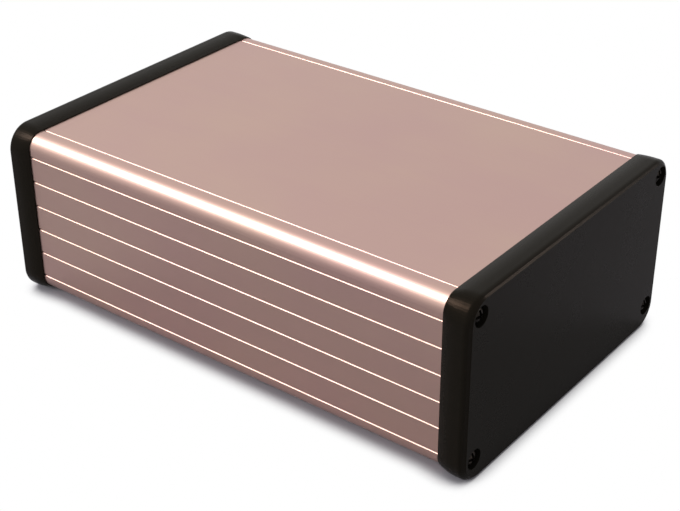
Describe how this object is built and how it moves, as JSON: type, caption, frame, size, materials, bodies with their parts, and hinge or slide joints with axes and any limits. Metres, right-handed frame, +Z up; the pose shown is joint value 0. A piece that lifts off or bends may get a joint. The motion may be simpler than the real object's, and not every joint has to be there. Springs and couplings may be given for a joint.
{
  "type": "extruded aluminium enclosure",
  "caption": "Grooved satin aluminium extrusion case with a slide-in bottom cover, black moulded end caps held by corner screws, and inside slots for circuit boards.",
  "frame": {"origin": "middle of the footprint, on the surface that the two end caps stand on", "axes": "+X along the length of the extrusion, towards the right end cap; +Y across the width, towards the back; +Z up"},
  "size_m": [0.1664, 0.1062, 0.0564],
  "materials": {
    "satin_aluminium": "satin clear anodised, with fine lines along the extrusion",
    "black_plastic": "moulded, fine satin texture",
    "black_steel": "black plated"
  },
  "bodies": {
    "root": {"body_extrusion": "satin_aluminium", "bottom_cover": "satin_aluminium", "left_end_cap": "black_plastic", "right_end_cap": "black_plastic", "left_end_screws": "black_steel", "right_end_screws": "black_steel"}
  },
  "joints": []
}
